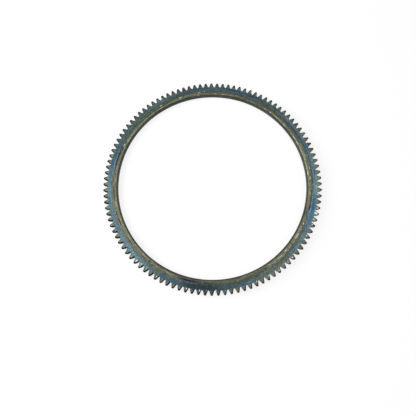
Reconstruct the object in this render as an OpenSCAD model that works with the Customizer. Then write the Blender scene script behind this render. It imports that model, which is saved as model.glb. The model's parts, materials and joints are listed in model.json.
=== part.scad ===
// Starter ring gear for an engine flywheel.
// One flat steel ring: a turned blank with spur teeth cut round its rim. It lies on its back
// face, centred on the Z axis, and the face that the starter pinion slides in from is on top.
// The flywheel sets the bore and the starter sets the module. The ring gets as many whole
// teeth as leave about the wanted depth of metal between the bore and the gaps.

/* [Ring] */
// Bore that is shrunk onto the flywheel, diameter in mm
bore_d = 293; // [150:1:450]
// Depth of metal from the bore to the bottom of the gaps, mm, kept to within half a tooth
rim_depth = 14.75; // [6:0.25:40]
// Thickness of the ring, from face to face, mm
face_width = 10; // [6:0.5:30]

/* [Teeth] */
// Module: pitch diameter divided by the number of teeth, mm
module_mm = 3; // [2:0.25:5]
// Pressure angle of the involute flanks, degrees
pressure_angle = 20; // [17.5:0.5:25]
// Height of a tooth above the pitch circle, in modules
addendum = 1; // [0.8:0.05:1.1]
// Depth of a gap below the pitch circle, in modules
dedendum = 1.25; // [1.1:0.05:1.4]
// Gap added between mating flanks at the pitch circle, mm
backlash = 0; // [0:0.05:0.4]

/* [Edges] */
// Lead-in chamfer of the bore at the top face, mm at 45 degrees
bore_chamfer_top = 2; // [0.5:0.25:3]
// Chamfer of the bore at the back face, mm at 45 degrees
bore_chamfer_back = 1; // [0.5:0.25:3]
// Chamfer turned on the tooth tips at both faces, mm at 45 degrees
tip_chamfer = 1; // [0.4:0.1:1.5]
// Pinion entry bevel on the anticlockwise flank of each tooth, mm at 45 degrees
entry_bevel = 1.4; // [0.5:0.1:2]

/* [Hidden] */
bore_r = bore_d / 2;
teeth = round((bore_d + 2 * rim_depth) / module_mm + 2 * dedendum);
pitch_deg = 360 / teeth;
pitch_r = module_mm * teeth / 2;
tip_r = pitch_r + addendum * module_mm;
root_r = pitch_r - dedendum * module_mm;
base_r = pitch_r * cos(pressure_angle);

// Half the angle of a gap where its two involutes would start, on the base circle
gap_half_deg = pitch_deg / 4 + deg(backlash / 2 / pitch_r) - deg(involute(pressure_angle));
// The gap has a full round bottom: one arc that touches both flanks and the root circle
round_c = round_centre(root_r + module_mm / 2, 12);
round_r = round_c - root_r;
// Roll of the involute, in radians, and radius where the round bottom touches a flank
touch_roll = (angle_at(round_c) - gap_half_deg) * PI / 180;
touch_r = base_r * sqrt(1 + touch_roll * touch_roll);

// Straight facets that stand in for each involute flank
flank_steps = 5;
// How far the cutters run past the faces and the tooth tips
overrun = 1;

$fn = 256;
// Segments of the small arcs and cones at the bottom of the gaps
round_fn = 32;

function deg(radians) = radians * 180 / PI;

// Involute function of an angle in degrees, in radians
function involute(a) = tan(a) - a * PI / 180;

// Pressure angle of the involute where it crosses radius r
function angle_at(r) = acos(base_r / r);

// Distance from a point on the gap's centre line, at radius c, to either flank
function flank_distance(c) = base_r * (involute(angle_at(c)) + gap_half_deg * PI / 180);

// Centre of the full round bottom, found by repeating c = root radius + distance to the flank
function round_centre(c, passes) =
    passes == 0 ? c : round_centre(root_r + flank_distance(c), passes - 1);

// Point of a flank at radius r. The gap's centre line is the X axis, and side is 1 or -1.
function flank_point(r, side) =
    let (a = gap_half_deg + deg(involute(angle_at(r))))
    [r * cos(a), side * r * sin(a)];

// Outline of one gap between two teeth
module gap_outline() {
    flank_r = [for (i = [0:flank_steps]) touch_r + (tip_r + overrun - touch_r) * i / flank_steps];
    polygon(concat(
        [for (r = flank_r) flank_point(r, 1)],
        [for (i = [flank_steps:-1:0]) flank_point(flank_r[i], -1)]
    ));
    translate([round_c, 0]) circle(r = round_r, $fn = round_fn);
}

// A cutter with a 45 degree edge that follows the round bottom and then one flank
module entry_bevel_cutter() {
    near = flank_point(touch_r, -1);
    far = flank_point(tip_r, -1);
    lean = atan2(far[1] - near[1], far[0] - near[0]);
    run = tip_r - round_c + 2 * overrun;
    depth = entry_bevel + overrun;
    top_r = round_r + depth;
    translate([round_c, 0, face_width - entry_bevel]) {
        cylinder(h = depth, r1 = round_r, r2 = top_r, $fn = round_fn);
        rotate([0, 0, lean]) rotate([90, 0, 90]) linear_extrude(run)
            polygon([[0, 0], [-round_r, 0], [-top_r, depth], [0, depth]]);
    }
}

// Section of the turned blank, in radius and height
module blank_section() {
    polygon([
        [bore_r + bore_chamfer_back, 0],
        [tip_r - tip_chamfer, 0],
        [tip_r, tip_chamfer],
        [tip_r, face_width - tip_chamfer],
        [tip_r - tip_chamfer, face_width],
        [bore_r + bore_chamfer_top, face_width],
        [bore_r, face_width - bore_chamfer_top],
        [bore_r, bore_chamfer_back]
    ]);
}

module each_gap() {
    for (i = [0:teeth - 1]) rotate([0, 0, (i + 0.5) * pitch_deg]) children();
}

module ring_gear() {
    color([0.44, 0.49, 0.47]) difference() {
        rotate_extrude() blank_section();
        each_gap() translate([0, 0, -overrun]) linear_extrude(face_width + 2 * overrun) gap_outline();
        each_gap() entry_bevel_cutter();
    }
}

ring_gear();
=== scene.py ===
"""A flywheel ring gear lying on a pale studio floor. Its teeth were induction hardened, which
left bands of temper colour round the face. Lengths are metres unless a name or a comment says mm,
and angles are anticlockwise from +X, seen from above."""
import json
import math

import bmesh
import bpy
from mathutils import Matrix, Vector


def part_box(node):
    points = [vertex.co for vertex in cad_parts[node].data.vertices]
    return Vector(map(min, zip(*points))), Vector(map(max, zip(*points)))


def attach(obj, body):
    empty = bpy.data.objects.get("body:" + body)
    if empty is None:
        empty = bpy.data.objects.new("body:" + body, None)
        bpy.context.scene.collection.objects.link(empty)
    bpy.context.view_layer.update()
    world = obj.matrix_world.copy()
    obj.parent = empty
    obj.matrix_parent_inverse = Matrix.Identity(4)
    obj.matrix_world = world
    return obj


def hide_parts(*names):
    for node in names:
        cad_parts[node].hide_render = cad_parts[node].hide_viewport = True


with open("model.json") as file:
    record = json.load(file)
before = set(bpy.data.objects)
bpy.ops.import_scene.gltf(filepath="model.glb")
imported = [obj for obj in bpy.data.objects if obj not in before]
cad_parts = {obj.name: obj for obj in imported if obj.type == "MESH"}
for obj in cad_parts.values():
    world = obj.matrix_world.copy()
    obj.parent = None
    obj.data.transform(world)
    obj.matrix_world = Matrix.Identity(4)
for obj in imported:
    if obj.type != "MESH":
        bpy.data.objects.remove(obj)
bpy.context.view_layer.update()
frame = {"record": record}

MM = 0.001

# Sizes of the ring, from the frame where it holds them and otherwise as the CAD part has them
NODE = "ring_gear"
TIP_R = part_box(NODE)[1].x
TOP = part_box(NODE)[1].z
BORE_R = next(m["dims"]["r_mm"] for m in frame["record"]["mounts"] if m["name"] == "bore") * MM
MODULE = 3 * MM
TEETH = round(2 * TIP_R / MODULE - 2)
PRESSURE_ANGLE = math.radians(20)
BORE_CHAMFER_TOP = 2 * MM
BORE_CHAMFER_BACK = 1 * MM
TIP_CHAMFER = 1 * MM
ENTRY_BEVEL = 1.4 * MM

# Radius that deburring left on the sharp edges, the share of it that a 45 degree corner has, and
# the depths below a face of the points that round an edge off
EDGE = 0.25 * MM
BLUNT = 0.4
EDGE_DEPTHS = [0.0, 0.12 * EDGE, 0.48 * EDGE, EDGE]

PITCH = 2 * math.pi / TEETH
PITCH_R = MODULE * TEETH / 2
ROOT_R = PITCH_R - 1.25 * MODULE
BASE_R = PITCH_R * math.cos(PRESSURE_ANGLE)

# Mesh steps along a flank, round the bottom of a gap, and from the gaps to the bore
FLANK_STEPS = 6
ROUND_STEPS = 8
FACE_ROWS = 5
# Width of plain face from the bevels to the first of those rows
FACE_MARGIN = 1.2 * MM
# Largest angle between faces that are shaded as one surface
SMOOTH_ANGLE = math.radians(32)


def involute(angle):
    return math.tan(angle) - angle


def angle_at(radius):
    """Pressure angle of the involute where it crosses a radius."""
    return math.acos(BASE_R / radius)


# Half the angle of a gap at the base circle
GAP_HALF = PITCH / 4 - involute(PRESSURE_ANGLE)


def round_bottom():
    """Centre and radius of the arc that touches both flanks of a gap and the root circle."""
    centre = ROOT_R + MODULE / 2
    for _ in range(12):
        centre = ROOT_R + BASE_R * (involute(angle_at(centre)) + GAP_HALF)
    return centre, centre - ROOT_R


ROUND_C, ROUND_R = round_bottom()
# Where the arc touches a flank: the flank's angle to the middle line of the gap, and its roll
LEAN = angle_at(ROUND_C)
TOUCH_ROLL = LEAN - GAP_HALF


def edge_round(z):
    """How far the rounded edge has drawn the surface in at height z."""
    depth = EDGE - min(z, TOP - z)
    return EDGE - math.sqrt(EDGE ** 2 - depth ** 2) if depth > 0 else 0.0


def tip_limit(z):
    """Outer radius of the turned blank at height z."""
    return TIP_R - max(0.0, TIP_CHAMFER - min(z, TOP - z)) - BLUNT * edge_round(z)


def worn_by(z, cut):
    """How far wear has drawn a flank in at height z, less where a bevel blunts its edge."""
    return edge_round(z) * (BLUNT if cut > EDGE else 1.0)


def flank_point(radius, inset, side):
    """Point of a flank that is drawn into the metal by inset, in the frame of its gap."""
    angle = side * (GAP_HALF + inset / BASE_R + involute(angle_at(radius)))
    return Vector((radius * math.cos(angle), radius * math.sin(angle)))


def flank_points(z, bevel, side):
    """Points of one flank, from the bottom of the gap to the tip, where the corner is rounded."""
    start = math.hypot(BASE_R, BASE_R * TOUCH_ROLL - bevel)
    points = []
    for step in range(FLANK_STEPS + 1):
        radius = start + (tip_limit(z) - start) * step / FLANK_STEPS
        corner = BLUNT * EDGE if step == FLANK_STEPS else 0.0
        points.append(flank_point(radius, bevel + worn_by(z, bevel) + corner, side))
    return points


def gap_points(z):
    """Outline of one gap at height z, clockwise tip first, in the frame of the gap. The bevel is
    whole on the clockwise side of the gap and runs out round the bottom of it."""
    bevel = max(0.0, z - (TOP - ENTRY_BEVEL))
    sweep = math.pi / 2 - LEAN
    bottom = []
    for step in range(1, ROUND_STEPS):
        turn = sweep * (2 * step / ROUND_STEPS - 1)
        cut = bevel * ((1 - math.sin(turn) / math.sin(sweep)) / 2) ** 2
        radius = ROUND_R + cut + worn_by(z, cut)
        bottom.append(Vector((ROUND_C - radius * math.cos(turn), radius * math.sin(turn))))
    return flank_points(z, bevel, -1)[::-1] + bottom + flank_points(z, 0.0, 1)


def turned(point, angle):
    """A point of the plane, turned about the axis."""
    c, s = math.cos(angle), math.sin(angle)
    return Vector((c * point.x - s * point.y, s * point.x + c * point.y))


def wall_heights():
    """Heights of the loops of points that the toothed rim is built from."""
    back = EDGE_DEPTHS + [TIP_CHAMFER]
    front = [ENTRY_BEVEL, TIP_CHAMFER, TIP_CHAMFER / 2] + EDGE_DEPTHS[::-1]
    return back + [TOP - depth for depth in front]


def bore_profile():
    """Radius and height of the loops from the gaps over the face and bore to the back."""
    # Points lie to both sides of each corner, so that smooth shading rounds it off
    soft = 0.6 * EDGE
    face_r = ROOT_R - ENTRY_BEVEL - FACE_MARGIN
    top_r = BORE_R + BORE_CHAMFER_TOP
    back_r = BORE_R + BORE_CHAMFER_BACK
    rows = [(face_r + (top_r + EDGE - face_r) * i / FACE_ROWS, TOP) for i in range(FACE_ROWS + 1)]
    rows += [
        (top_r - soft, TOP - soft),
        (BORE_R + soft, TOP - BORE_CHAMFER_TOP + soft),
        (BORE_R, TOP - BORE_CHAMFER_TOP - EDGE),
        (BORE_R, BORE_CHAMFER_BACK + EDGE),
        (BORE_R + soft, BORE_CHAMFER_BACK - soft),
        (back_r - soft, soft),
    ]
    start = back_r + EDGE
    rows += [(start + (face_r - start) * i / FACE_ROWS, 0.0) for i in range(FACE_ROWS + 1)]
    return rows


# Numbers of the points of a gap: its bottom runs from LOW to HIGH, and its last tip is LAST
LOW = FLANK_STEPS
HIGH = LOW + ROUND_STEPS
LAST = HIGH + FLANK_STEPS


def add_rim(bm):
    """Flanks, gap bottoms and tips. Returns the points by height, by gap and along the gap."""
    loops = []
    for z in wall_heights():
        outline = gap_points(z)
        gaps = []
        for gap in range(TEETH):
            places = [turned(p, (gap + 0.5) * PITCH) for p in outline]
            gaps.append([bm.verts.new((p.x, p.y, z)) for p in places])
        loops.append(gaps)

    for under, over in zip(loops, loops[1:]):
        for gap in range(TEETH):
            a, b = under[gap], over[gap]
            for i in range(LAST):
                bm.faces.new((a[i], a[i + 1], b[i + 1], b[i]))
            following = (gap + 1) % TEETH
            bm.faces.new((a[LAST], under[following][0], over[following][0], b[LAST]))
    return loops


def add_tooth_ends(bm, gaps):
    """Ends of the teeth at one face, between the flanks of gaps that are side by side."""
    for gap in range(TEETH):
        left, right = gaps[gap], gaps[(gap + 1) % TEETH]
        for i in range(FLANK_STEPS):
            j = HIGH + i
            k = LOW - i
            bm.faces.new((left[j], left[j + 1], right[k - 1], right[k]))


def add_faces_and_bore(bm, loops):
    """Surface from the gaps over the top face, through the bore and over the back face. Its
    columns run from the points of the gap bottoms to even steps round the bore."""
    start = [math.atan2(p.y, p.x) for p in gap_points(TOP)[LOW:HIGH + 1]]
    even = [(i - ROUND_STEPS / 2) * PITCH / (ROUND_STEPS + 1) for i in range(ROUND_STEPS + 1)]
    profile = bore_profile()
    rows = [[v for gap in loops[-1] for v in gap[LOW:HIGH + 1]]]
    for number, (radius, z) in enumerate(profile):
        share = min(1.0, number / FACE_ROWS, (len(profile) - 1 - number) / FACE_ROWS)
        angles = [s + (e - s) * share for s, e in zip(start, even)]
        row = []
        for gap in range(TEETH):
            for angle in angles:
                turn = angle + (gap + 0.5) * PITCH
                row.append(bm.verts.new((radius * math.cos(turn), radius * math.sin(turn), z)))
        rows.append(row)
    rows.append([v for gap in loops[0] for v in gap[LOW:HIGH + 1]])
    for outer, inner in zip(rows, rows[1:]):
        for i in range(len(outer)):
            j = (i + 1) % len(outer)
            bm.faces.new((outer[i], outer[j], inner[j], inner[i]))


def ring_mesh():
    """The whole ring as one closed mesh."""
    bm = bmesh.new()
    loops = add_rim(bm)
    add_tooth_ends(bm, loops[0])
    add_tooth_ends(bm, loops[-1])
    add_faces_and_bore(bm, loops)
    bmesh.ops.recalc_face_normals(bm, faces=bm.faces)
    mesh = bpy.data.meshes.new("ring_gear_steel")
    bm.to_mesh(mesh)
    bm.free()
    mesh.shade_smooth()
    mesh.set_sharp_from_angle(angle=SMOOTH_ANGLE)
    return mesh


# Camera: fitted to the tooth tips and the bore edge of the photograph. CENTRE_PX is where its
# axis meets the picture, from the top left corner. The last two say where the centre of the top
# face lies from the camera, in tip radii.
IMAGE_PX = 416
FOCAL_PX = 330
CENTRE_PX = (203.8, 180.8)
TILT = math.radians(-14.6)
ROLL = math.radians(6.79)
AXIS_OFFSET = (0.0707, 0.0003)
DISTANCE = 3.024
# Turn of the ring from the frame, where a tooth lies on +X, to the photograph. Azimuths are
# measured after this turn.
TURN = math.radians(1.38767)

# Colours as they look on the steel, out of 255: temper colours and scale, and colours of painted
# light and shade
PALETTE = {
    "slate": (70, 90, 100),
    "blue_grey": (84, 104, 113),
    "grey_teal": (79, 97, 98),
    "pale_teal": (98, 112, 107),
    "steel": (100, 128, 137),
    "grey_blue": (100, 121, 134),
    "cyan": (108, 144, 158),
    "blue": (72, 112, 142),
    "dim_blue": (74, 102, 122),
    "deep_blue": (54, 79, 118),
    "royal": (50, 86, 120),
    "periwinkle": (88, 104, 138),
    "sky": (94, 126, 158),
    "navy": (36, 42, 68),
    "purple": (66, 62, 98),
    "ink": (58, 66, 86),
    "turquoise": (72, 114, 118),
    "dark_teal": (50, 65, 71),
    "grey_olive": (75, 86, 81),
    "pale_grey": (94, 104, 98),
    "silver": (120, 128, 118),
    "dark_olive": (62, 72, 70),
    "olive_brown": (82, 88, 79),
    "olive": (104, 109, 96),
    "pale_olive": (120, 126, 108),
    "brown": (86, 82, 66),
    "bronze": (122, 111, 88),
    "gold": (184, 168, 116),
    "dark_straw": (88, 91, 75),
    "straw": (108, 110, 90),
    "bright_straw": (134, 136, 112),
    "pale_straw": (154, 156, 132),
    "pink": (188, 172, 144),
    "cream": (196, 200, 168),
    # One colour of the teeth in lighter and darker copies, painted light and shade round the ring
    "tooth": (106, 117, 107),
    "tooth_bright": (150, 160, 146),
    "tooth_pale": (124, 132, 117),
    "tooth_dim": (88, 100, 93),
    "tooth_dark": (72, 84, 80),
    "tip": (44, 56, 54),
    "rim": (132, 140, 116),
    "glint": (244, 250, 244),
    "wall": (70, 79, 71),
    "dark_wall": (40, 47, 43),
    "scale": (56, 70, 66),
    "shade_black": (6, 12, 14),
}

# Azimuth in degrees where the colour wheels of the ring are cut, just clear of the marks
SEAM = 60

# Colours round the ring, as (azimuth, colour), clockwise from the seam: first those of the teeth,
# then those of the bands of the face from there to the bore. Their lightness round the ring is
# partly painted light and shade, besides the temper colours.
TEETH_COLOURS = [
    (60, "tooth_dim"), (24, "tooth_dim"), (21, "tooth_pale"), (17, "tooth_dim"), (8, "tooth"),
    (-8, "tooth_pale"), (-14, "tooth_pale"), (-18, "tooth_dim"), (-22, "tooth_bright"),
    (-27, "tooth_bright"), (-31, "tooth"), (-38, "tooth"), (-46, "tooth_dim"), (-52, "tooth_pale"),
    (-62, "tooth"), (-70, "tooth"), (-86, "tooth"), (-98, "tooth_dark"), (-106, "tooth_dim"),
    (-112, "tooth"), (-128, "tooth_dim"), (-133, "tooth"), (-138, "tooth_bright"), (-145, "tooth"),
    (-152, "tooth_pale"), (-190, "tooth_pale"), (-208, "tooth"), (-216, "tooth_dim"),
    (-246, "tooth_dim"), (-260, "tooth_dark"), (-276, "tooth_dark"), (-290, "tooth_dim"),
]
BLUE_BAND_COLOURS = [
    (60, "slate"), (45, "grey_teal"), (28, "blue_grey"), (14, "blue_grey"), (-3, "steel"),
    (-8, "cyan"), (-12, "cyan"), (-20, "blue"), (-28, "blue"), (-34, "grey_blue"),
    (-39, "grey_blue"), (-43, "pale_teal"), (-48, "steel"), (-52, "pale_grey"), (-67, "pale_teal"),
    (-74, "blue_grey"), (-86, "slate"), (-98, "dark_teal"), (-108, "dark_teal"), (-115, "slate"),
    (-122, "dim_blue"), (-128, "pale_teal"), (-133, "steel"), (-146, "cyan"), (-162, "steel"),
    (-180, "cyan"), (-198, "dim_blue"), (-207, "dim_blue"), (-214, "grey_teal"),
    (-250, "grey_teal"), (-268, "slate"), (-300, "slate"),
]
PALE_LINE_COLOURS = [
    (60, "grey_olive"), (30, "grey_olive"), (12, "grey_teal"), (0, "pale_grey"),
    (-12, "pale_grey"), (-19, "steel"), (-28, "steel"), (-35, "pale_grey"), (-48, "grey_teal"),
    (-58, "pale_grey"), (-70, "pale_grey"), (-84, "grey_olive"), (-90, "grey_olive"),
    (-97, "dark_teal"), (-108, "dark_teal"), (-118, "pale_grey"), (-136, "pale_grey"),
    (-150, "silver"), (-172, "silver"), (-184, "silver"), (-198, "steel"), (-206, "blue_grey"),
    (-214, "grey_teal"), (-230, "pale_grey"), (-240, "grey_olive"), (-280, "grey_olive"),
    (-290, "slate"), (-300, "slate"),
]
OLIVE_BAND_COLOURS = [
    (60, "dark_olive"), (50, "olive_brown"), (25, "olive_brown"), (8, "olive_brown"),
    (-4, "olive"), (-10, "olive"), (-16, "blue_grey"), (-26, "steel"), (-31, "olive"),
    (-46, "olive"), (-53, "pale_olive"), (-62, "olive"), (-72, "olive_brown"),
    (-90, "olive_brown"), (-97, "dark_olive"), (-109, "dark_olive"), (-114, "grey_teal"),
    (-120, "olive"), (-148, "pale_olive"), (-186, "pale_olive"), (-198, "slate"), (-206, "slate"),
    (-212, "olive_brown"), (-250, "olive_brown"), (-259, "dark_olive"), (-268, "dark_olive"),
    (-276, "olive_brown"), (-290, "dark_olive"), (-300, "dark_olive"),
]
STRAW_BAND_COLOURS = [
    (60, "olive_brown"), (36, "olive_brown"), (22, "olive"), (4, "pale_olive"), (-9, "pale_olive"),
    (-14, "straw"), (-19, "bronze"), (-25, "olive_brown"), (-31, "pale_olive"),
    (-45, "pale_olive"), (-52, "bright_straw"), (-61, "bright_straw"), (-67, "olive_brown"),
    (-80, "olive"), (-90, "olive"), (-97, "dark_olive"), (-109, "dark_teal"), (-115, "olive"),
    (-120, "bright_straw"), (-127, "pale_olive"), (-150, "pale_olive"), (-170, "bright_straw"),
    (-184, "pale_olive"), (-198, "bronze"), (-207, "olive_brown"), (-214, "straw"),
    (-228, "olive_brown"), (-243, "olive_brown"), (-256, "olive"), (-270, "olive"),
    (-300, "olive_brown"),
]
# The bore's edge: straw temper colours, lighter where a painted highlight runs along the edge
BORE_EDGE_COLOURS = [
    (60, "straw"), (44, "straw"), (36, "bright_straw"), (24, "bright_straw"), (14, "pale_straw"),
    (0, "pale_straw"), (-10, "bright_straw"), (-17, "bright_straw"), (-27, "straw"),
    (-38, "bright_straw"), (-48, "straw"), (-72, "straw"), (-80, "dark_straw"), (-100, "straw"),
    (-105, "brown"), (-116, "brown"), (-124, "dark_straw"), (-140, "bright_straw"),
    (-150, "bright_straw"), (-166, "bright_straw"), (-182, "bright_straw"), (-200, "bright_straw"),
    (-216, "bright_straw"), (-230, "bright_straw"), (-239, "straw"), (-262, "straw"),
    (-285, "straw"), (-300, "dark_straw"),
]

# The bands of the face from the bore outwards. Each takes over from the one inside it between two
# radii in mm.
FACE_BANDS = [
    (149.3, 149.9, STRAW_BAND_COLOURS),
    (151.0, 151.9, OLIVE_BAND_COLOURS),
    (152.9, 153.8, PALE_LINE_COLOURS),
    (155.2, 156.1, BLUE_BAND_COLOURS),
]

# Flecks on the inner bands: colour, length and width in mm, place in the noise, the values of the
# noise where they start and are whole, strength
FLECKS = [
    ("brown", 2.6, 1.0, 120, 0.54, 0.66, 0.55),
    ("bright_straw", 2.2, 0.9, 171, 0.56, 0.68, 0.5),
]

# Local marks: colour, azimuth, radius in mm, half length in degrees, half width in mm, strength.
# A mark lies over the ones before it. The cream and pink ones at 148.2 to 148.3 mm are painted
# highlights on the bore's edge.
MARKS = [
    ("deep_blue", 56, 158.6, 3.5, 0.6, 0.6),
    ("dark_teal", 55, 151.4, 1.4, 0.9, 0.5),
    ("deep_blue", 47.7, 158.8, 0.9, 1.2, 0.7),
    ("cream", 43.3, 148.3, 0.6, 0.6, 0.9),
    ("pale_olive", 42.4, 151.2, 1.2, 1.2, 0.6),
    ("deep_blue", 41.2, 158.0, 1.6, 1.4, 0.5),
    ("gold", 37.2, 148.4, 4.0, 0.7, 0.8),
    ("turquoise", 31.6, 159.2, 1.2, 0.9, 0.6),
    ("silver", 32, 156.7, 1.2, 0.6, 0.5),
    ("cream", 31.5, 148.3, 1.3, 0.7, 0.95),
    ("dark_teal", 29.6, 151.6, 2.6, 0.9, 0.5),
    ("deep_blue", 27.5, 158.8, 0.8, 1.0, 0.5),
    ("cream", 21.5, 148.3, 1.2, 0.7, 1.0),
    ("cream", 18, 148.3, 1.1, 0.7, 0.6),
    ("bright_straw", 15.5, 151.5, 1.4, 0.9, 0.6),
    ("deep_blue", 13.6, 158.6, 2.9, 0.9, 0.7),
    ("pink", 11.4, 148.3, 2.2, 0.7, 0.9),
    ("dark_teal", 10.8, 153.6, 1.4, 1.0, 0.5),
    ("bright_straw", 8, 151.4, 1.9, 0.8, 0.5),
    ("cream", 4.5, 148.2, 1.2, 0.5, 0.5),
    ("olive_brown", 4, 149.9, 3.4, 0.8, 0.5),
    ("dark_teal", 1, 154.2, 3.0, 0.6, 0.5),
    ("cream", 1.0, 152.2, 0.8, 0.8, 0.7),
    ("royal", -1.9, 158.9, 1.5, 0.8, 0.8),
    ("cream", -2.4, 148.3, 0.7, 0.8, 1.0),
    ("silver", -2.4, 157.0, 0.9, 0.5, 0.6),
    ("blue", -5.2, 158.8, 1.2, 0.7, 0.6),
    ("cream", -5.3, 151.0, 0.9, 0.9, 0.75),
    ("dark_teal", -7, 153.6, 1.0, 0.9, 0.6),
    ("pink", -9.4, 150.8, 0.9, 0.6, 0.6),
    ("pale_straw", -8, 160.6, 3.0, 0.7, 0.75),
    ("silver", -6.5, 157.1, 3.0, 0.6, 0.6),
    ("cyan", -14, 158.8, 3.2, 1.6, 0.7),
    ("pale_straw", -10.4, 159.4, 0.8, 1.8, 0.9),
    ("deep_blue", -21, 156.2, 5.0, 0.7, 0.7),
    ("silver", -21, 154.4, 9.0, 0.6, 0.85),
    ("navy", -17.5, 152.6, 4.6, 0.6, 0.7),
    ("bronze", -20, 149.8, 4.6, 1.3, 0.9),
    ("gold", -14.8, 150.2, 1.2, 0.8, 0.95),
    ("navy", -22.5, 152.2, 1.9, 1.0, 0.9),
    ("navy", -26, 148.9, 1.2, 0.8, 0.6),
    ("periwinkle", -25.5, 151.0, 1.2, 1.4, 0.95),
    ("dark_teal", -28, 151.6, 1.3, 0.8, 0.5),
    ("bright_straw", -29.8, 150.2, 1.0, 0.8, 0.6),
    ("brown", -32.7, 150.9, 1.6, 2.0, 0.6),
    ("cream", -32.7, 150.7, 0.7, 0.9, 1.0),
    ("ink", -36, 152.2, 1.4, 0.7, 0.6),
    ("pink", -36.4, 150.4, 0.8, 0.6, 0.6),
    ("purple", -37.8, 151.7, 0.8, 0.7, 0.8),
    ("brown", -40.3, 154.4, 1.2, 0.8, 0.7),
    ("cream", -40.5, 150.4, 1.8, 1.3, 0.75),
    ("gold", -44.2, 150.6, 0.9, 0.6, 0.6),
    ("ink", -46.3, 152.2, 1.0, 0.7, 0.7),
    ("ink", -48.5, 154.4, 1.8, 0.8, 0.7),
    ("royal", -48, 158.8, 1.5, 0.9, 0.9),
    ("silver", -48, 156.8, 2.2, 0.5, 0.6),
    ("cream", -51, 149.8, 1.2, 0.8, 0.6),
    ("cream", -56, 150.8, 1.6, 0.9, 0.5),
    ("cream", -63, 149.8, 0.8, 0.7, 0.6),
    ("brown", -73, 151.8, 4.0, 1.5, 0.5),
    ("pink", -78.5, 149.2, 1.6, 0.6, 0.5),
    ("cyan", -77.2, 158.2, 1.6, 1.1, 0.7),
    ("royal", -80.5, 158.4, 1.6, 1.0, 0.85),
    ("deep_blue", -87.2, 158.8, 1.2, 0.9, 0.7),
    ("dim_blue", -91, 157.4, 3.5, 0.9, 0.5),
    ("navy", -96.8, 151.6, 0.8, 0.9, 0.5),
    ("bronze", -102, 151.0, 1.4, 1.0, 0.35),
    ("navy", -110.5, 151.0, 5.6, 1.0, 1.0),
    ("royal", -115.2, 150.9, 0.9, 0.7, 0.7),
    ("pale_grey", -108, 153.2, 4.0, 0.5, 0.8),
    ("pale_grey", -113, 160.4, 3.0, 0.8, 0.5),
    ("bronze", -115, 154.2, 2.4, 0.6, 0.9),
    ("dim_blue", -117, 157.2, 6.0, 1.4, 0.6),
    ("bronze", -119.5, 152.8, 3.0, 1.5, 0.6),
    ("deep_blue", -123, 158.6, 1.0, 1.2, 0.6),
    ("ink", -123.2, 151.6, 0.8, 0.9, 0.8),
    ("bronze", -129.5, 151.6, 2.5, 0.8, 0.4),
    ("ink", -133.5, 151.3, 0.8, 1.1, 0.9),
    ("purple", -138, 151.8, 1.9, 0.8, 0.95),
    ("pink", -138.2, 149.7, 1.5, 0.7, 0.85),
    ("cyan", -145, 158.4, 12.0, 1.4, 0.6),
    ("blue", -147.3, 159.0, 1.2, 1.0, 0.5),
    ("ink", -150, 151.9, 3.2, 0.8, 1.0),
    ("gold", -151.4, 149.9, 1.6, 0.8, 0.8),
    ("brown", -155.5, 156.2, 0.8, 0.6, 0.6),
    ("blue", -158, 159.0, 3.0, 0.9, 0.6),
    ("sky", -160.8, 158.2, 2.6, 2.0, 0.9),
    ("silver", -153, 159.9, 6.0, 0.6, 0.45),
    ("ink", -162.4, 151.9, 2.4, 0.8, 1.0),
    ("gold", -163, 149.9, 1.9, 0.7, 0.8),
    ("ink", -167.2, 152.5, 1.8, 0.6, 0.7),
    ("brown", -169.2, 155.8, 0.7, 0.6, 0.6),
    ("blue", -168.5, 159.0, 1.6, 0.9, 0.6),
    ("pink", -173, 149.8, 1.7, 0.8, 0.6),
    ("blue", -175.5, 158.8, 2.4, 0.9, 0.9),
    ("silver", -171.4, 159.4, 1.0, 1.0, 0.5),
    ("silver", -181, 159.9, 4.0, 0.7, 0.5),
    ("ink", -180, 151.4, 4.4, 0.9, 0.95),
    ("gold", -187.5, 150.0, 1.8, 0.8, 0.6),
    ("navy", -200.5, 152.0, 6.0, 0.9, 0.95),
    ("bronze", -200.5, 149.8, 5.4, 1.4, 0.8),
    ("cream", -210, 151.2, 1.0, 1.4, 0.45),
    ("slate", -212.3, 151.4, 1.0, 1.3, 0.85),
    ("gold", -213.6, 149.6, 0.9, 0.7, 0.6),
    ("bronze", -216.8, 150.6, 1.2, 0.8, 0.5),
    ("pale_teal", -201, 160.4, 6.0, 0.8, 0.6),
    ("turquoise", -222, 158.0, 1.2, 1.2, 0.5),
    ("slate", -225.3, 151.8, 1.0, 0.8, 0.7),
    ("cream", -243.8, 152.2, 0.8, 0.8, 0.75),
    ("turquoise", -246, 158.3, 3.5, 0.9, 0.5),
    ("slate", -248, 152.2, 1.8, 0.9, 0.6),
    ("dark_teal", -254, 160.2, 12.0, 0.8, 0.5),
    ("cream", -257, 151.2, 0.9, 0.8, 0.6),
    ("cream", -269.2, 152.2, 0.9, 0.7, 0.7),
    ("cream", -272.5, 153.0, 0.5, 0.6, 0.7),
    ("bronze", -284, 149.2, 8.0, 0.6, 0.5),
    ("dark_teal", -292, 151.9, 8.0, 0.8, 0.8),
    ("deep_blue", -292, 157.2, 5.0, 0.8, 0.6),
]

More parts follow.
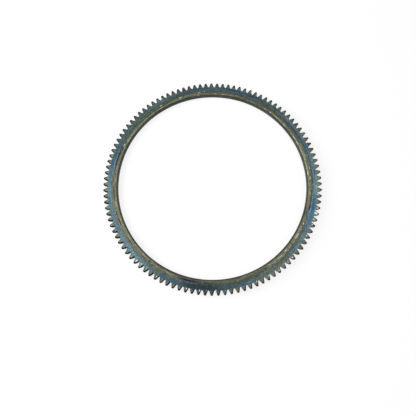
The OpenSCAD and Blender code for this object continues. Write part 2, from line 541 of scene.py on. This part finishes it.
# Painted highlights as bright glints on the teeth: azimuth, radius and half width in mm, strength
GLINTS = [
    (-14.6, 161.3, 0.7, 0.7), (-24.8, 163.2, 1.6, 1.0), (-28.3, 161.8, 0.6, 0.5),
    (-31.1, 163.1, 0.8, 0.6), (-37.7, 162.2, 0.8, 0.5), (-51.4, 163.4, 0.8, 0.8),
    (-54.6, 163.6, 0.8, 0.6), (-60.8, 163.8, 0.7, 0.4), (-66.7, 161.8, 0.7, 1.0),
    (-73.5, 161.4, 0.7, 0.9), (-89.8, 161.6, 0.6, 0.4), (-94.7, 160.9, 0.7, 0.9),
    (-99.5, 160.8, 0.6, 0.5), (-102.9, 161.8, 0.9, 1.0), (-109.5, 162.2, 0.8, 0.8),
    (-126.0, 162.6, 0.7, 0.7), (-132.4, 161.6, 0.7, 0.5), (-136.2, 161.4, 0.8, 0.5),
    (-139.2, 162.4, 1.3, 1.0), (-142.6, 163.2, 0.7, 0.4), (-246.9, 162.1, 0.6, 0.4),
]

# Stretches of the ring with a look of their own, most of them painted light or shade: the azimuth
# of the middle, then the cosines of the angle from there where the look starts and where it is
# whole
BEADED = (80, -0.2, 0.4)
STRAW_RIM_RIGHT = (-40, 0.7, 0.95)
STRAW_RIM_LEFT = (-158, 0.7, 0.95)
BRIGHT_BEVELS = (-146, 0.72, 0.92)
DARK_BEVELS = (90, 0.3, 0.8)
SHADE_SIDE = (-137, 0.5, 0.9)
BLACK_SHADE_SIDE = (-130, -0.1, 0.7)
SHADED_BORE = (-90, 0.1, 0.6)
FINE_LINES = (80, -0.3, 0.5)
# The other way round: this look is missing near the azimuth and whole far from it
DARK_PLAIN_EDGES = (-25, 0.9, 0.4)

# Radii in mm where a look starts and where it is whole, in either direction
BORE_WALL = (147.9, 147.3)
OUTER_WALLS = (150.0, 152.0)
FLECKED = (156.0, 154.0)
TEETH_START = (160.0, 161.8)
OUTLINED = (160.0, 161.5)
SHADED_BEVEL_RADII = (160.5, 161.5)
HIGHLIT_BEVEL_RADII = (161.0, 162.0)
STRAW_RIM = (163.0, 161.0)
DARK_TIPS = (164.4, 166.6)
TURNED_TIPS = (167.2, 167.6)

# Middle of the face and of the beads along the bore's edge, as radii in mm
MEAN_R_MM = 155.0
BEAD_R_MM = 148.5
# Length in mm of a degree round the middle of the teeth
DEGREE_MM = math.radians(163.0)
# Width of a glint round the ring as a share of its length across it
GLINT_SHAPE = 0.6

# How far the noise moves the sectors in degrees and the bands in mm, and how ragged it makes the
# ends in degrees and the sides in mm of marks and glints
SECTOR_DRIFT = 5.0
BAND_WANDER = 2.4
RAGGED_ENDS = 1.2
RAGGED_SIDES = 0.9

# How metallic the face is, and by how much the bore is less so
FACE_METAL = 0.8
BORE_LOSS = 0.4

WHITE = (1, 1, 1, 1)
# Strength of the white room as a light
ROOM_LIGHT = 0.45
LAMP_SIZE = 0.9
LAMP_WATTS = 11
LAMP_PLACE = (-1.0, 0.25, 0.6)
# The floor lies just under the back face. Its glow adds to the light on it, where it is seen.
FLOOR_DROP = 0.2 * MM
FLOOR_R = 30 * TIP_R
FLOOR_GREY = (0.3, 0.3, 0.3, 1)
FLOOR_GLOW = 0.8


def colour(name):
    """A palette colour as linear light."""
    scaled = [value / 255 for value in PALETTE[name]]
    linear = [((c + 0.055) / 1.055) ** 2.4 if c > 0.04 else c / 12.92 for c in scaled]
    return (*linear, 1.0)


class Graph:
    """Short names for the nodes of a shader."""

    def __init__(self, tree):
        self.tree = tree

    def node(self, kind, **settings):
        node = self.tree.nodes.new("ShaderNode" + kind)
        for name, value in settings.items():
            setattr(node, name, value)
        return node

    def put(self, socket, value):
        if isinstance(value, bpy.types.NodeSocket):
            self.tree.links.new(value, socket)
        else:
            socket.default_value = value

    def math(self, operation, *values):
        node = self.node("Math", operation=operation)
        for socket, value in zip(node.inputs, values):
            self.put(socket, value)
        return node.outputs[0]

    def add(self, a, b):
        return self.math("ADD", a, b)

    def subtract(self, a, b):
        return self.math("SUBTRACT", a, b)

    def multiply(self, a, b):
        return self.math("MULTIPLY", a, b)

    def apart(self, a, b):
        """Distance between two values."""
        return self.math("ABSOLUTE", self.subtract(a, b))

    def hypot(self, a, b):
        return self.math("SQRT", self.add(self.multiply(a, a), self.multiply(b, b)))

    def vector(self, operation, *values):
        node = self.node("VectorMath", operation=operation)
        for socket, value in zip(node.inputs, values):
            self.put(socket, value)
        return node.outputs["Value" if operation == "LENGTH" else "Vector"]

    def join(self, x, y, z):
        node = self.node("CombineXYZ")
        for socket, value in zip(node.inputs, (x, y, z)):
            self.put(socket, value)
        return node.outputs[0]

    def split(self, vector):
        node = self.node("SeparateXYZ")
        self.put(node.inputs[0], vector)
        return node.outputs

    def smooth(self, value, low, high, start=0.0, end=1.0):
        """Start where the value is low, end where it is high, and a smooth step between them. The
        value may also run down from low to high."""
        node = self.node("MapRange", interpolation_type="SMOOTHSTEP")
        for socket, item in zip(node.inputs, (value, low, high, start, end)):
            self.put(socket, item)
        return node.outputs[0]

    def mix(self, share, first, second, blend="MIX"):
        # The sockets for colours go by number, as each kind of value has sockets of the same name
        node = self.node("Mix", data_type="RGBA", blend_type=blend)
        self.put(node.inputs[0], share)
        self.put(node.inputs[6], first)
        self.put(node.inputs[7], second)
        return node.outputs[2]

    def noise(self, place, detail):
        node = self.node("TexNoise")
        self.put(node.inputs["Vector"], place)
        node.inputs["Scale"].default_value = 1
        node.inputs["Detail"].default_value = detail
        return node.outputs[0]

    def around(self, azimuth, centre, edge, full):
        """One near an azimuth and nothing far from it, by the cosine of the angle between them."""
        angle = self.math("RADIANS", self.subtract(azimuth, centre))
        return self.smooth(self.math("COSINE", angle), edge, full)

    def oval(self, spot, azimuth, radius, half_degrees, half_mm):
        """Distance of a spot from the middle of an oval patch, in half sizes of the patch."""
        scale = (1 / half_degrees, 1 / half_mm, 0.0)
        offset = (-azimuth / half_degrees, -radius / half_mm, 0.0)
        return self.vector("LENGTH", self.vector("MULTIPLY_ADD", spot, scale, offset))

    def sectors(self, turn, stops):
        """Colour by azimuth, for a turn that runs from 0 to 1 clockwise from the seam."""
        ramp = self.node("ValToRGB")
        self.put(ramp.inputs[0], turn)
        elements = ramp.color_ramp.elements
        for _ in range(len(stops) - 2):
            elements.new(0.5)
        for element, (azimuth, name) in zip(elements, stops):
            element.position = (SEAM - azimuth) / 360
            element.color = colour(name)
        return ramp.outputs[0]


class Place:
    """Where a shaded point is on the ring, as sockets of a graph. Radius is in mm and azimuth in
    degrees."""

    def __init__(self, g):
        self.g = g
        coords = g.node("TexCoord")
        x, y, self.z = g.split(coords.outputs["Object"])
        # Nothing on an upright wall and one on the top and back faces
        self.rise = g.math("ABSOLUTE", g.split(coords.outputs["Normal"])[2])
        self.metres = g.hypot(x, y)
        self.radius = g.multiply(self.metres, 1 / MM)
        self.angle = g.math("ARCTAN2", y, x)
        azimuth = g.math("DEGREES", g.add(self.angle, TURN))
        self.azimuth = g.math("WRAP", azimuth, SEAM - 360, SEAM)

        # A circle through the noise, so that the grain has no seam
        flat = g.join(g.math("DIVIDE", x, self.metres), g.math("DIVIDE", y, self.metres), 0.0)
        self.arc = g.vector("MULTIPLY", flat, (MEAN_R_MM, MEAN_R_MM, 0.0))
        self.wander = g.subtract(self.grain(4.0, 2.5, 3.0, 0.0), 0.5)
        drift = g.multiply(g.subtract(self.grain(14.0, 5.0, 2.0, 31.0), 0.5), SECTOR_DRIFT)
        self.turn = g.math("DIVIDE", g.subtract(SEAM, g.add(self.azimuth, drift)), 360)

        # Azimuth and radius with noise, which gives marks and glints a ragged outline
        blur = g.subtract(self.grain(1.6, 0.9, 2.0, 57.0), 0.5)
        ends = g.multiply(blur, RAGGED_ENDS)
        sides = g.multiply(g.add(blur, self.wander), RAGGED_SIDES)
        self.spot = g.join(g.add(self.azimuth, ends), g.add(self.radius, sides), 0.0)
        self.find_gap()

    def grain(self, length, width, detail, shift):
        """Noise whose blotches are a length round the ring by a width across it, in mm. The shift
        moves it, so that no two looks have the same blotches."""
        g = self.g
        place = g.vector("MULTIPLY", self.arc, (1 / length, 1 / length, 0.0))
        across = g.add(g.multiply(self.radius, 1 / width), g.multiply(self.z, 1 / (width * MM)))
        return g.noise(g.vector("ADD", place, g.join(shift, shift, across)), detail)

    def find_gap(self):
        """Distances from the nearest gap, as it is bevelled at the top face. side is in metres,
        anticlockwise from its middle line. The rest are in mm: below runs into the metal from its
        round bottom, beside into the tooth from its bevelled edge, and facing to either side of
        its plain edge."""
        g = self.g
        local = g.math("WRAP", g.subtract(self.angle, PITCH / 2), -PITCH / 2, PITCH / 2)
        out = g.subtract(g.multiply(self.metres, g.math("COSINE", local)), ROUND_C)
        self.side = g.multiply(self.metres, g.math("SINE", local))
        reach = g.hypot(out, self.side)
        # The bevel runs out round the bottom, as in gap_points
        cut = g.math("DIVIDE", self.side, reach)
        cut = g.math("MULTIPLY_ADD", cut, -0.5 / math.cos(LEAN), 0.5)
        cut = g.math("MINIMUM", g.math("MAXIMUM", cut, 0.0), 1.0)
        bottom_r = g.math("MULTIPLY_ADD", g.multiply(cut, cut), ENTRY_BEVEL, ROUND_R)
        self.below = g.multiply(g.subtract(reach, bottom_r), 1 / MM)

        # Half the angle of the gap at this radius, from the tangent of the pressure angle
        share = g.math("DIVIDE", self.metres, BASE_R)
        square = g.math("MAXIMUM", g.subtract(g.multiply(share, share), 1.0), 0.0)
        tangent = g.math("SQRT", square)
        opening = g.subtract(g.add(tangent, GAP_HALF), g.math("ARCTANGENT", tangent))
        past = g.multiply(g.subtract(g.multiply(local, -1.0), opening), BASE_R / MM)
        self.beside = g.subtract(past, ENTRY_BEVEL / MM)
        self.facing = g.multiply(g.apart(local, opening), BASE_R / MM)

    def chance(self):
        """A random value for each tooth."""
        g = self.g
        node = g.node("TexWhiteNoise", noise_dimensions="1D")
        tooth = g.math("FLOOR", g.math("DIVIDE", g.add(self.angle, PITCH / 2), PITCH))
        g.put(node.inputs["W"], tooth)
        return node.outputs["Value"]


def face_colour(g, at):
    """Temper colours of the face from the bore to the teeth, with flecks, beads and marks."""
    spread = g.add(at.radius, g.multiply(at.wander, BAND_WANDER))
    tint = g.sectors(at.turn, BORE_EDGE_COLOURS)
    for low, high, stops in FACE_BANDS:
        tint = g.mix(g.smooth(spread, low, high), tint, g.sectors(at.turn, stops))

    inner = g.smooth(at.radius, *FLECKED)
    for name, length, width, shift, low, high, strength in FLECKS:
        fleck = g.smooth(at.grain(length, width, 3.0, shift), low, high, 0.0, strength)
        tint = g.mix(g.multiply(fleck, inner), tint, colour(name))

    # Painted highlights in bright beads along the bore's edge
    bead = g.smooth(at.grain(5.0, 4.0, 2.0, 240.0), 0.5, 0.64, 0.0, 0.48)
    bead = g.multiply(bead, g.smooth(g.apart(at.radius, BEAD_R_MM), 0.3, 0.9, 1.0, 0.0))
    bead = g.multiply(bead, g.around(at.azimuth, *BEADED))
    tint = g.mix(bead, tint, colour("cream"))

    for name, azimuth, radius, half_degrees, half_mm, strength in MARKS:
        away = g.oval(at.spot, azimuth, radius, half_degrees, half_mm)
        tint = g.mix(g.smooth(away, 0.6, 1.35, strength, 0.0), tint, colour(name))
    return tint


def add_teeth(g, at, tint):
    """Lays the colours of the teeth and of their edges over those of the face, with painted shade
    and painted highlights on them.
    """
    tooth = g.sectors(at.turn, TEETH_COLOURS)
    # Painted shade: the teeth darken towards their tips
    tooth = g.mix(g.smooth(at.radius, *DARK_TIPS), tooth, colour("tip"))
    tint = g.mix(g.smooth(g.add(at.radius, at.wander), *TEETH_START), tint, tooth)

    # The straw rim that follows the bottoms of the gaps, faint between its two bright stretches
    edge = g.add(at.below, g.multiply(at.wander, 2.0))
    rim = g.multiply(g.smooth(edge, 0.4, 1.6, 0.6, 0.0), g.smooth(at.radius, *STRAW_RIM))
    right = g.around(at.azimuth, *STRAW_RIM_RIGHT)
    left = g.around(at.azimuth, *STRAW_RIM_LEFT)
    rim = g.multiply(rim, g.add(0.3, g.math("MAXIMUM", right, left)))
    tint = g.mix(rim, tint, colour("rim"))

    # Painted highlights along the bevelled edges, more on some teeth than on others
    bevel_highlight = g.smooth(g.apart(at.beside, 0.35), 0.1, 0.7, 0.8, 0.0)
    bevel_highlight = g.multiply(bevel_highlight, g.add(0.2, at.chance()))
    bevel_highlight = g.multiply(bevel_highlight, g.around(at.azimuth, *BRIGHT_BEVELS))
    bevel_highlight = g.multiply(bevel_highlight, g.smooth(at.radius, *HIGHLIT_BEVEL_RADII))
    tint = g.mix(bevel_highlight, tint, colour("glint"))

    # Painted shade: dark outlines of the teeth, along their plain edges and then along their
    # bevelled ones
    plain = g.smooth(at.facing, 0.1, 1.0, 0.8, 0.0)
    plain = g.multiply(plain, g.around(at.azimuth, *DARK_PLAIN_EDGES))
    bevelled = g.smooth(g.math("ABSOLUTE", at.beside), 0.1, 0.9, 0.6, 0.0)
    bevelled = g.multiply(bevelled, g.around(at.azimuth, *DARK_BEVELS))
    outline = g.math("MAXIMUM", plain, bevelled)
    outline = g.multiply(outline, g.smooth(at.radius, *OUTLINED))
    tint = g.mix(outline, tint, colour("tip"))

    # Painted shade, near black, on the bevels and at the feet of the gaps, on their clockwise side
    painted_shade = g.smooth(at.beside, 0.1, 0.8, 0.9, 0.0)
    painted_shade = g.multiply(painted_shade, g.smooth(at.side, -0.3 * MM, -0.8 * MM))
    painted_shade = g.multiply(painted_shade, g.smooth(at.radius, *SHADED_BEVEL_RADII))
    foot = g.smooth(at.below, 0.1, 0.8, 1.0, 0.0)
    foot = g.multiply(foot, g.smooth(at.side, 0.8 * MM, -0.4 * MM))
    painted_shade = g.multiply(g.math("MAXIMUM", painted_shade, foot), g.around(at.azimuth, *SHADE_SIDE))
    return g.mix(painted_shade, tint, colour("shade_black"))


def wall_colour(g, at, outside):
    """Dark scale on the flanks and bevels, with painted near-black shade on the bevels of one
    side, bare turned tips, and dark steel in the bore, darker on one side as painted shade.
    """
    turned_tip = g.multiply(g.smooth(at.radius, *TURNED_TIPS), g.smooth(at.rise, 0.5, 0.2))
    scale = g.mix(turned_tip, colour("scale"), colour("grey_olive"))
    # Painted shade: near-black bevels round azimuth -130, where they face away from the light
    dark_side_shade = g.multiply(g.around(at.azimuth, *BLACK_SHADE_SIDE), g.smooth(at.rise, 0.3, 0.6))
    scale = g.mix(dark_side_shade, scale, colour("shade_black"))
    # Painted shade: the bore wall is darker round azimuth -90
    bore = g.mix(g.around(at.azimuth, *SHADED_BORE), colour("wall"), colour("dark_wall"))
    return g.mix(outside, bore, scale)


def add_glints(g, at, tint):
    """Lays the glints, painted highlights, over the upper edges of the teeth."""
    upper = g.smooth(at.z, TOP - 2.5 * MM, TOP - 1.5 * MM)
    for azimuth, radius, half_width, strength in GLINTS:
        half_degrees = half_width / DEGREE_MM
        away = g.oval(at.spot, azimuth, radius, half_degrees, half_width / GLINT_SHAPE)
        glint = g.multiply(g.smooth(away, 0.6, 1.2, strength, 0.0), upper)
        tint = g.mix(glint, tint, colour("glint"))
    return tint


def brightness(g, at):
    """Streaks and mottling of the steel, and the fine turned lines of the far side."""
    streak = g.smooth(at.grain(7.0, 0.7, 3.0, 11.0), 0.32, 0.68, 0.78, 1.24)
    mottle = g.smooth(at.grain(1.8, 1.2, 4.0, 83.0), 0.36, 0.64, 0.68, 1.36)
    line = g.subtract(g.smooth(at.grain(40.0, 0.6, 2.0, 203.0), 0.34, 0.66), 0.5)
    line = g.multiply(g.around(at.azimuth, *FINE_LINES), line)
    return g.multiply(g.multiply(streak, mottle), g.add(1.0, line))


def heat_tinted_steel():
    """Steel with temper colours on its flat faces and dark scale on the walls of its teeth, with
    painted highlights and painted shade over them.
    """
    material = bpy.data.materials.new("heat_tinted_steel")
    material.use_nodes = True
    shader = material.node_tree.nodes["Principled BSDF"]
    g = Graph(material.node_tree)
    at = Place(g)

    outside = g.smooth(at.radius, *OUTER_WALLS)
    dull = g.multiply(g.smooth(at.rise, 0.94, 0.76), outside)
    bore = g.smooth(at.radius, *BORE_WALL)
    tint = add_teeth(g, at, face_colour(g, at))
    tint = g.mix(g.math("MAXIMUM", dull, bore), tint, wall_colour(g, at, outside))
    tint = add_glints(g, at, tint)
    light = brightness(g, at)
    g.put(shader.inputs["Base Color"], g.mix(1.0, tint, g.join(light, light, light), "MULTIPLY"))

    metal = g.subtract(FACE_METAL, g.multiply(dull, FACE_METAL))
    g.put(shader.inputs["Metallic"], g.subtract(metal, g.multiply(bore, BORE_LOSS)))
    shader.inputs["Roughness"].default_value = 0.42
    shader.inputs["Specular IOR Level"].default_value = 0.05
    return material


def add_camera():
    data = bpy.data.cameras.new("camera")
    camera = bpy.data.objects.new("camera", data)
    bpy.context.scene.collection.objects.link(camera)
    data.sensor_width = 36
    data.lens = FOCAL_PX / IMAGE_PX * data.sensor_width
    data.shift_x = (IMAGE_PX / 2 - CENTRE_PX[0]) / IMAGE_PX
    data.shift_y = (CENTRE_PX[1] - IMAGE_PX / 2) / IMAGE_PX
    data.clip_start = 0.01
    data.clip_end = 20
    turn = Matrix.Rotation(TURN, 3, "Z")
    look = Matrix.Rotation(ROLL, 3, "Z") @ Matrix.Rotation(TILT, 3, "X") @ turn
    offset = Vector((AXIS_OFFSET[0], AXIS_OFFSET[1], -DISTANCE)) * TIP_R
    place = -(look.transposed() @ offset) + Vector((0, 0, TOP))
    camera.matrix_world = Matrix.Translation(place) @ look.transposed().to_4x4()
    bpy.context.scene.camera = camera


def seen(g):
    """One for rays from the camera and for mirrored and refracted ones, nothing for dull light."""
    path = g.node("LightPath")
    rays = g.math("MAXIMUM", path.outputs["Is Camera Ray"], path.outputs["Is Glossy Ray"])
    return g.math("MAXIMUM", rays, path.outputs["Is Transmission Ray"])


def add_world():
    """A room that looks white and mirrors white, and lights the dull surfaces less."""
    world = bpy.data.worlds.new("studio")
    world.use_nodes = True
    nodes = world.node_tree.nodes
    g = Graph(world.node_tree)
    light = nodes["Background"]
    light.inputs["Color"].default_value = WHITE
    light.inputs["Strength"].default_value = ROOM_LIGHT
    white = g.node("Background")
    white.inputs["Color"].default_value = WHITE
    white.inputs["Strength"].default_value = 1
    mix = g.node("MixShader")
    for socket, value in zip(mix.inputs, (seen(g), light.outputs[0], white.outputs[0])):
        g.put(socket, value)
    g.put(nodes["World Output"].inputs["Surface"], mix.outputs[0])
    bpy.context.scene.world = world


def add_lamp():
    """A large soft lamp to the left of the ring, which the steel doesn't mirror."""
    data = bpy.data.lights.new("softbox", "AREA")
    data.size = LAMP_SIZE
    data.energy = LAMP_WATTS
    lamp = bpy.data.objects.new("softbox", data)
    bpy.context.scene.collection.objects.link(lamp)
    lamp.location = LAMP_PLACE
    lamp.visible_glossy = False
    lamp.rotation_euler = (-Vector(LAMP_PLACE)).to_track_quat("-Z", "Y").to_euler()


def add_floor():
    """A dull disc that takes a faint shadow and glows, so that it looks as white as the room."""
    bm = bmesh.new()
    bmesh.ops.create_circle(bm, cap_ends=True, radius=FLOOR_R, segments=64)
    mesh = bpy.data.meshes.new("floor")
    bm.to_mesh(mesh)
    bm.free()
    floor = bpy.data.objects.new("floor", mesh)
    bpy.context.scene.collection.objects.link(floor)
    floor.location.z = -FLOOR_DROP
    material = bpy.data.materials.new("floor")
    material.use_nodes = True
    nodes = material.node_tree.nodes
    g = Graph(material.node_tree)
    shader = nodes["Principled BSDF"]
    shader.inputs["Base Color"].default_value = FLOOR_GREY
    shader.inputs["Roughness"].default_value = 1
    shader.inputs["Specular IOR Level"].default_value = 0
    glow = g.node("Emission")
    g.put(glow.inputs["Strength"], g.multiply(seen(g), FLOOR_GLOW))
    both = g.node("AddShader")
    g.put(both.inputs[0], shader.outputs[0])
    g.put(both.inputs[1], glow.outputs[0])
    g.put(nodes["Material Output"].inputs["Surface"], both.outputs[0])
    mesh.materials.append(material)


ring = bpy.data.objects.new("ring_gear_steel", ring_mesh())
bpy.context.scene.collection.objects.link(ring)
ring.data.materials.append(heat_tinted_steel())
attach(ring, "root")
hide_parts(NODE)

add_camera()
add_world()
add_lamp()
add_floor()
bpy.context.scene.view_settings.view_transform = "Standard"
